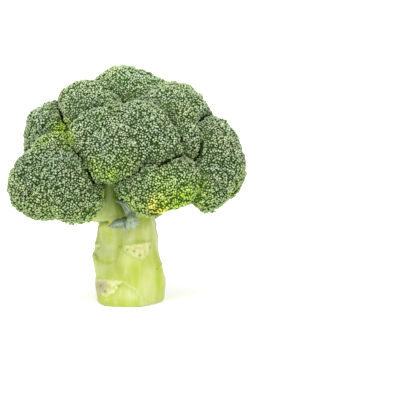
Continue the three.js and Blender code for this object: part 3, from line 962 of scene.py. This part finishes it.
def build_stalk(material):
    """The stalk with its lumps, scars, furrows, ridges and cut foot. Each point gets what it belongs to."""
    stalk = grow_stalk()
    points, facing = read_points(stalk.data)
    x, y, height = (points / MM).T
    away = np.hypot(x, y)
    way = np.arctan2(x, -y) * STALK_RADIUS
    skin = 1 - ease(TRUNK_TOP, TRUNK_TOP + SKIN_FADE, height)
    skin = skin * ease(*SKIN_INNER_FADE, away)
    lift = UNEVENNESS * rough_field(points * UNEVENNESS_STRETCH, UNEVENNESS_SCALE) * skin
    lift += wash(way, height, LUMPS) * skin
    mottled = 1 + WASH_UNEVENNESS * rough_field(points, WASH_SCALE, 5.0)
    # Whitish bloom, partly painted sheen and light.
    pale = wash(way, height, BLOOM_AND_PAINTED_LIGHT_WASHES) * mottled
    lime = wash(way, height, LIME_WASHES) * mottled
    # Painted shade, as deep green under the head and below the leaf.
    green = wash(way, height, PAINTED_SHADE_WASHES) * mottled
    scar = np.zeros(len(points))
    bruise = np.zeros(len(points))
    bundle = np.zeros(len(points))
    ragged = EDGE_RAGGEDNESS * rough_field(points, EDGE_SCALE, 3.0)
    for at_way, at_height, wide, high, brown in SCARS:
        over = wrap_round(way - at_way) / wide
        up = (height - at_height) / high
        inside = depth_inside(over, up, SCAR_OUTLINE) + ragged
        scar = np.maximum(scar, ease(*SCAR_CREAM, inside))
        lime_line = np.exp(-(((inside - SCAR_LIME_PLACE) / SCAR_LIME_WIDTH) ** 2))
        lime = np.maximum(lime, SCAR_LIME * lime_line)
        lift += SCAR_RIM * np.exp(-(((inside - SCAR_RIM_PLACE) / SCAR_RIM_WIDTH) ** 2)) * skin
        lift -= SCAR_DEPTH * ease(*SCAR_DIP, inside) * skin
        for dot_way, dot_height, dot_size in SCAR_BUNDLES:
            apart = np.hypot(over - dot_way, up - dot_height)
            bundle = np.maximum(bundle, SCAR_DOT * np.exp(-((apart / dot_size) ** 4)))
        out = np.hypot(over - BRUISE_MIDDLE[0], (up - BRUISE_MIDDLE[1]) * BRUISE_FLATNESS)
        out = out + BRUISE_RAGGEDNESS * ragged
        bruise = np.maximum(bruise, brown * (1 - ease(*BRUISE_FADE, out)))
    for line, width, depth, limeness in FURROWS:
        near = np.exp(-(((near_line(way, height, line) + ragged) / width) ** 2))
        # The deepest furrows also get painted shade, as deep green.
        furrow_shade = max(limeness - FURROW_SHADE_FROM, 0) / (1 - FURROW_SHADE_FROM)
        green = np.maximum(green, furrow_shade * near)
        lime = np.maximum(lime, limeness * near)
        lift -= depth * near * skin
    for line, width, rise, paleness in RIDGES:
        near = np.exp(-(((near_line(way, height, line) + RIDGE_RAGGEDNESS * ragged) / width) ** 2))
        # Painted highlight along the ridge.
        pale = np.maximum(pale, paleness * near)
        lime = lime * (1 - RIDGE_LIME_LOSS * near)
        lift += rise * near * skin
    # The limbs turn greener near the head, a deep green that also paints its shade.
    up_limb = height + CROWN_UNEVENNESS * rough_field(points, CROWN_SCALE, 9.0)
    crown = ease(CROWN_START, CROWN_END, up_limb)
    crown = crown * (CROWN_GREEN - CROWN_GREEN_LIME_LOSS * np.clip(lime, 0, 1))
    green = np.maximum(green * skin, crown)

    under = (height < CUT_HEIGHT) & (facing[:, 2] < CUT_FACING)
    out = away / STALK_RADIUS
    ring = CUT_RING_GREEN * np.exp(-(((out - CUT_RING_PLACE) / CUT_RING_WIDTH) ** 2))
    green = np.maximum(green, under * (CUT_RIM_GREEN * ease(*CUT_RIM, out) + ring))
    bundle = bundle * skin
    for index in range(FOOT_BUNDLES):
        angle = 2 * math.pi * (index + FOOT_BUNDLE_SHIFT_ROUND * math.sin(index * 5)) / FOOT_BUNDLES
        reach = FOOT_BUNDLE_RING + FOOT_BUNDLE_SHIFT_OUT * math.sin(index * 2.3)
        apart = np.hypot(x - reach * math.cos(angle), y - reach * math.sin(angle))
        dot = FOOT_BUNDLE_DOT * np.exp(-((apart / FOOT_BUNDLE_SIZE) ** 4))
        bundle = np.maximum(bundle, under * dot)

    points = points + facing * (lift * MM * ~under)[:, None]
    points[:, 2] = np.maximum(points[:, 2], 0)
    points[under, 2] = 0
    for edge, slope in (FOOT_LEFT, FOOT_RIGHT):
        past = (edge - x) if edge < 0 else (x - edge)
        points[:, 2] = np.maximum(points[:, 2], slope * past * MM)
    write_points(stalk.data, points)
    store(stalk.data, "green", green)
    store(stalk.data, "pale", np.clip(pale, 0, 1) * skin * ~under)
    store(stalk.data, "lime", np.clip(lime, 0, 1) * skin * ~under)
    store(stalk.data, "scar", scar * skin)
    store(stalk.data, "bruise", bruise * skin)
    store(stalk.data, "bundle", bundle)
    store(stalk.data, "cut", under.astype(float))
    finish_piece(stalk, material, "stalk", "stalk")


# Leaves


def leaf_noise(share, across, seed, scales):
    return noise.noise(Vector((share * scales[0], across * scales[1], seed)))


def build_leaf(name, facts):
    """A small thin leaf: a grid laid along a curve, cupped, waved, veined and given its thickness."""
    start, over, end, widths, cup, pale, edge = facts
    start, over, end = Vector(start) * MM, Vector(over) * MM, Vector(end) * MM
    shape = bmesh.new()
    bmesh.ops.create_grid(shape, x_segments=LEAF_COLUMNS, y_segments=LEAF_ROWS, size=1)
    outward = 0.25 * start + 0.5 * over + 0.25 * end
    outward.z = 0
    outward.normalize()
    vein, paleness, edge_shade = [], [], []
    for point in shape.verts:
        across, share = point.co.x, (point.co.y + 1) / 2
        jag = LEAF_RAGGEDNESS * noise.noise(Vector((across * LEAF_JAG_SCALE, widths[0], cup)))
        share = share * (1 + jag * share)
        spine = (1 - share) ** 2 * start + 2 * share * (1 - share) * over + share**2 * end
        ahead = (2 * (1 - share) * (over - start) + 2 * share * (end - over)).normalized()
        aside = outward.cross(ahead).normalized()
        face = ahead.cross(aside)
        torn = 1 + LEAF_RAGGEDNESS * leaf_noise(share, across, widths[1], LEAF_TEAR_SCALES)
        half = np.interp(share, np.linspace(0, 1, len(widths)), widths) / 2 * MM * torn
        crumple = leaf_noise(share, across, widths[2], LEAF_CRUMPLE_SCALES)
        crumple += LEAF_FINE_CRUMPLE * leaf_noise(share, across, widths[2], LEAF_FINE_CRUMPLE_SCALES)
        spread = abs(across)
        midrib = math.exp(-((across / MIDRIB_WIDTH) ** 2))
        slant = (share - SIDE_VEIN_SLANT * spread) * LEAF_SIDE_VEINS
        from_vein = (slant - round(slant)) / SIDE_VEIN_WIDTH
        rib = math.exp(-(from_vein**2)) * (1 - spread) * SIDE_VEIN_STRENGTH
        vein.append(max(midrib, rib))
        paleness.append(pale * min(1, 0.5 + 0.5 * share))
        # Painted shade: the first edge, which curls under, is darkened.
        near_edge = min(max((-across - 0.25) / 0.5, 0), 1) * (1 - share**4)
        edge_shade.append(edge * near_edge * (0.8 + 0.4 * crumple))
        rise = (cup * across**2 - edge * max(-across, 0) ** 2) * half
        rise += (LEAF_CRUMPLE * crumple + MIDRIB_RISE * midrib + SIDE_VEIN_RISE * rib) * MM
        point.co = spine + aside * across * half + face * rise
    leaf = piece_from(shape, name)
    store(leaf.data, "vein", vein)
    store(leaf.data, "pale", paleness)
    store(leaf.data, "dark", np.clip(edge_shade, 0, 1))
    solid = leaf.modifiers.new("thickness", "SOLIDIFY")
    solid.thickness = LEAF_THICKNESS
    solid.offset = 0
    finer = leaf.modifiers.new("finer", "SUBSURF")
    finer.levels = finer.render_levels = 1
    apply_modifiers(leaf)
    return leaf


# Camera, light and floor


def build_view():
    """The photo's view: nearly level, from the front, with the head left of the middle."""
    aim = Vector((48.3, 0, 70)) * MM
    distance = 0.9
    elevation = math.radians(6)
    frame_width = 0.272
    data = bpy.data.cameras.new("camera")
    data.sensor_width = 36
    data.lens = data.sensor_width * distance / frame_width
    camera = bpy.data.objects.new("camera", data)
    camera.location = aim + distance * Vector((0, -math.cos(elevation), math.sin(elevation)))
    camera.rotation_euler = (math.pi / 2 - elevation, 0, 0)
    bpy.context.scene.collection.objects.link(camera)
    bpy.context.scene.camera = camera


def add_sun(name, towards, strength, width):
    data = bpy.data.lights.new(name, "SUN")
    data.energy = strength
    data.angle = math.radians(width)
    light = bpy.data.objects.new(name, data)
    light.rotation_euler = Vector(towards).to_track_quat("-Z", "Y").to_euler()
    bpy.context.scene.collection.objects.link(light)


def build_light_and_floor():
    """A white room: three wide soft suns, and a sky that looks white but lights the head less."""
    world = bpy.data.worlds.new("studio")
    world.use_nodes = True
    tree = world.node_tree
    seen = add(tree, "ShaderNodeLightPath").outputs["Is Camera Ray"]
    strength = add(tree, "ShaderNodeMapRange", {"Value": seen, "To Min": 0.8, "To Max": 1.1}).outputs[0]
    background = tree.nodes["Background"]
    background.inputs["Color"].default_value = (1, 1, 1, 1)
    tree.links.new(strength, background.inputs["Strength"])
    bpy.context.scene.world = world
    bpy.context.scene.view_settings.view_transform = "Standard"
    add_sun("key", (0.35, 0.6, -1.1), 2.5, 45)
    add_sun("right fill", (-0.9, 0.9, -0.6), 1.25, 70)
    add_sun("left fill", (0.9, 0.8, -0.2), 0.4, 70)
    shape = bmesh.new()
    bmesh.ops.create_grid(shape, x_segments=1, y_segments=1, size=30)
    floor = piece_from(shape, "floor")
    material, tree, shader = start_material("floor")
    shader.inputs["Base Color"].default_value = (0.93, 0.93, 0.93, 1)
    shader.inputs["Roughness"].default_value = 0.9
    shader.inputs["Emission Color"].default_value = (1, 1, 1, 1)
    shader.inputs["Emission Strength"].default_value = 0.28
    floor.data.materials.append(material)


build_view()
build_light_and_floor()
buds = bud_material()
for node in sorted(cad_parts):
    if node.startswith("floret"):
        build_floret(node, buds)
build_stalk(stalk_material())
waxy = leaf_material()
for node, facts in LEAVES.items():
    finish_piece(build_leaf(f"{node}_blade", facts), waxy, "leaf", node)
finish_piece(build_leaf("leaf_front_fold", FRONT_FOLD), waxy, "leaf")
